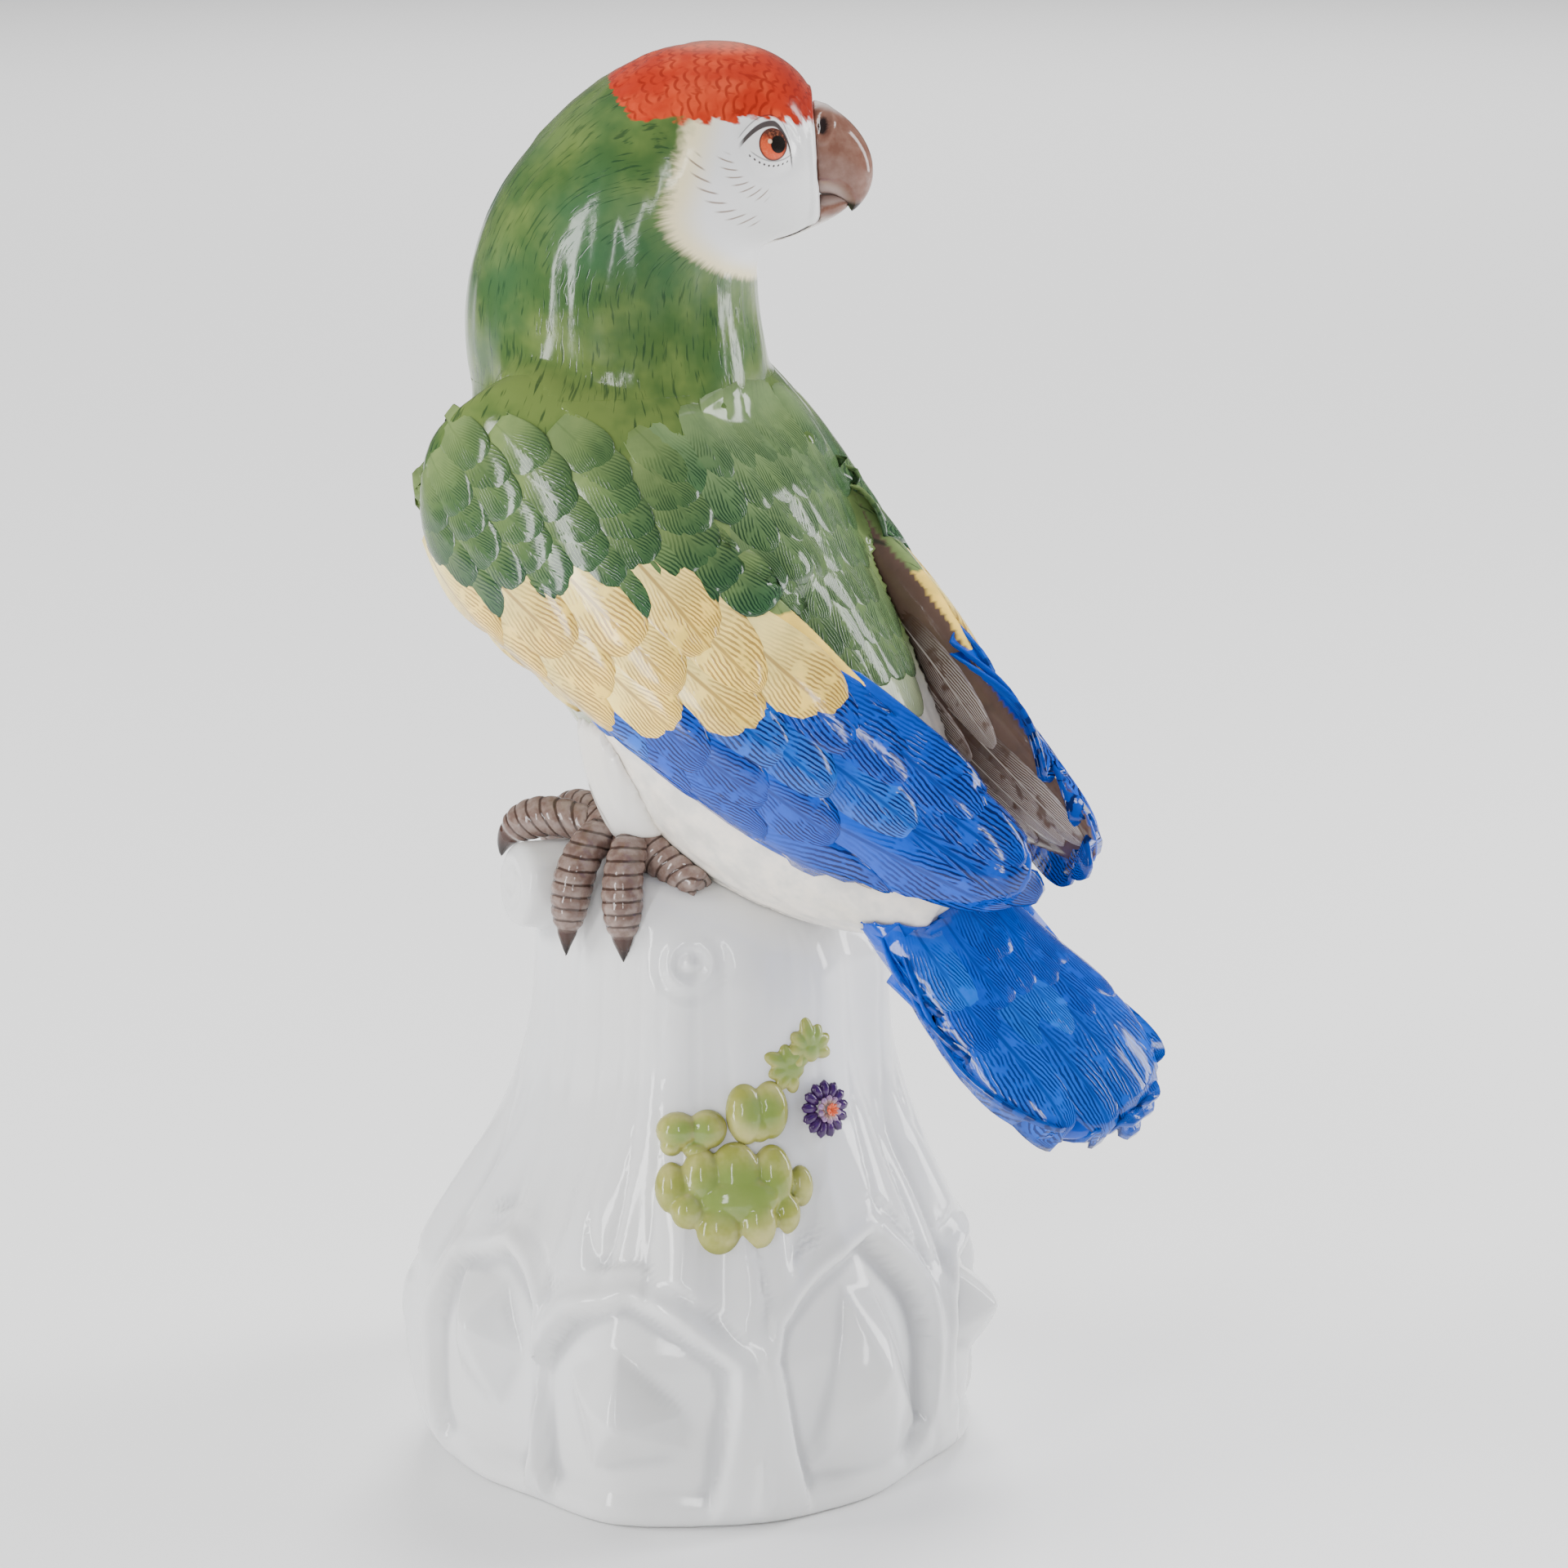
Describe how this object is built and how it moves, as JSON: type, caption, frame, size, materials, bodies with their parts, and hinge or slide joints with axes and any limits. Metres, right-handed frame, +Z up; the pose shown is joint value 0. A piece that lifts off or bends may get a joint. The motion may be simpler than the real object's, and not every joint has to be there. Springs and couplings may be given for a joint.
{
  "type": "porcelain bird figurine",
  "caption": "Glazed porcelain parrot with its head turned over its shoulder, perched on a white tree stump with applied leaves and a flower.",
  "frame": {"origin": "centre of the foot's resting face, on the surface it stands on", "axes": "+Z up; the beak points along +X; the show side, with the leaves and the flower, faces -Y"},
  "size_m": [0.1669, 0.1411, 0.3204],
  "materials": {
    "bisque_white": "clear gloss glaze over white porcelain",
    "painted_body": "gloss glaze over painted green feathers",
    "painted_head": "gloss glaze over painted green, red and white feathers",
    "painted_beak": "gloss glaze over painted mauve brown",
    "painted_wing": "gloss glaze over painted green, cream and blue feathers",
    "painted_tail": "gloss glaze over painted blue feathers",
    "white_down": "gloss glaze over warm white",
    "painted_feet": "gloss glaze over painted grey brown",
    "leaf_green": "gloss glaze over painted yellow green",
    "flower_violet": "gloss glaze over painted violet",
    "flower_pale": "gloss glaze over painted pale violet",
    "flower_orange": "gloss glaze over painted orange red"
  },
  "bodies": {
    "root": {"stump": "bisque_white", "base_plate": "bisque_white", "branch_stub": "bisque_white", "torso": "painted_body", "head": "painted_head", "upper_beak": "painted_beak", "lower_beak": "painted_beak", "left_wing": "painted_wing", "right_wing": "painted_wing", "tail": "painted_tail", "left_thigh": "white_down", "right_thigh": "white_down", "left_foot": "painted_feet", "right_foot": "painted_feet", "leaf_large": "leaf_green", "leaf_small_left": "leaf_green", "leaf_small_right": "leaf_green", "leaf_side": "leaf_green", "leaf_upper": "leaf_green", "flower_outer": "flower_violet", "flower_inner": "flower_pale", "flower_heart": "flower_orange", "left_toe_outer_front": "painted_feet", "left_toe_inner_front": "painted_feet", "left_toe_outer_back": "painted_feet", "left_toe_inner_back": "painted_feet", "right_toe_outer_front": "painted_feet", "right_toe_inner_front": "painted_feet", "right_toe_outer_back": "painted_feet", "right_toe_inner_back": "painted_feet"}
  },
  "joints": []
}
